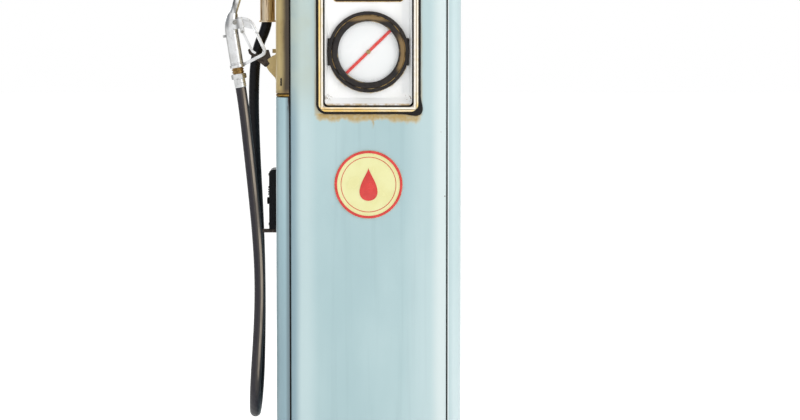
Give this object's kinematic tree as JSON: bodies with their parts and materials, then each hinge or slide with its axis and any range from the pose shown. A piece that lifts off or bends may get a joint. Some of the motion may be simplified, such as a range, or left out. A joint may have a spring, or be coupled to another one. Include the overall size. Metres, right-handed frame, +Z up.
{
  "type": "vintage fuel dispenser",
  "caption": "Tall pale-blue sheet-metal fuel dispenser with a recessed dial face and register window front and rear, side switch, and a nozzle hanging on its hose.",
  "frame": {"origin": "middle of the base plate's underside, on the ground", "axes": "+Z up, -Y out of the front face, the hose and nozzle on the -X side"},
  "size_m": [0.6449, 0.444, 1.72],
  "materials": {
    "blue_enamel": "faded pale blue enamel, satin, chipped and rust-stained",
    "tan_casing": "tan paint worn to brown, satin",
    "brass_trim": "worn trim strip",
    "worn_brass": "tarnished brass with bright edges",
    "cream_bezel": "cream bezel with worn yellowed edges",
    "gasket_rubber": "aged black rubber",
    "white_enamel": "white enamel, soiled at the corners",
    "ring_bronze": "black-brown finish worn to bronze on its edges",
    "red_enamel": "red enamel",
    "badge_enamel": "cream vitreous enamel with a red rim",
    "clear_glass": "clear glass",
    "hose_rubber": "black rubber hose, dusty",
    "cast_aluminium": "cast and polished aluminium",
    "black_enamel": "black enamel",
    "dark_iron": "dark oiled iron",
    "dark_frame": "dark primed steel",
    "primed_steel": "dark blue-grey paint"
  },
  "bodies": {
    "dispenser": {"base_plate": "primed_steel", "plinth_skirt": "primed_steel", "inner_frame": "dark_frame", "right_side_panel": "blue_enamel", "left_lower_side_panel": "blue_enamel", "left_trim_strip": "brass_trim", "left_upper_side_panel": "tan_casing", "top_cap": "blue_enamel", "round_badge": "badge_enamel", "hose_outlet_casting": "tan_casing", "hose_outlet_sleeve": "worn_brass", "hose": "hose_rubber", "hose_ferrule": "cast_aluminium", "hose_nut": "cast_aluminium", "swivel_rings": "worn_brass", "nozzle_body": "cast_aluminium", "nozzle_valve_cap": "cast_aluminium", "nozzle_spout": "cast_aluminium", "trigger_guard": "cast_aluminium", "nozzle_boot": "tan_casing", "lever_bracket": "tan_casing", "switch_box": "black_enamel", "switch_knob": "black_enamel", "hose_arm": "dark_iron", "front_panel": "blue_enamel", "front_gasket": "gasket_rubber", "front_bezel": "cream_bezel", "front_face_plate": "white_enamel", "front_register_rim": "worn_brass", "front_register_glass": "clear_glass", "front_register_wheels": "black_enamel", "front_sight_ring": "ring_bronze", "front_sight_glass": "clear_glass", "front_dial": "white_enamel", "rear_panel": "blue_enamel", "rear_gasket": "gasket_rubber", "rear_bezel": "cream_bezel", "rear_face_plate": "white_enamel", "rear_register_rim": "worn_brass", "rear_register_glass": "clear_glass", "rear_register_wheels": "black_enamel", "rear_sight_ring": "ring_bronze", "rear_sight_glass": "clear_glass", "rear_dial": "white_enamel"},
    "front_pointer": {"front_pointer": "red_enamel", "front_pointer_hub": "worn_brass"},
    "rear_pointer": {"rear_pointer": "red_enamel", "rear_pointer_hub": "worn_brass"},
    "trigger": {"trigger": "cast_aluminium"},
    "switch_lever": {"switch_lever": "dark_iron"}
  },
  "joints": [
    {"name": "front_pointer_spin", "type": "hinge", "parent": "dispenser", "child": "front_pointer", "pos_m": [0, -0.1885, 1.217], "axis": [0, 1, 0], "continuous": true},
    {"name": "rear_pointer_spin", "type": "hinge", "parent": "dispenser", "child": "rear_pointer", "pos_m": [0, 0.1885, 1.217], "axis": [0, -1, 0], "continuous": true},
    {"name": "trigger_squeeze", "type": "hinge", "parent": "dispenser", "child": "trigger", "pos_m": [-0.34101, -0.14, 1.27071], "axis": [0, 1, 0], "range_deg": [0, 18], "stiffness_Nm_per_rad": 1.5, "springref_deg": -5.73},
    {"name": "lever_lift", "type": "hinge", "parent": "dispenser", "child": "switch_lever", "pos_m": [-0.263, -0.11, 1.183], "axis": [0, 1, 0], "range_deg": [0, 22]}
  ]
}
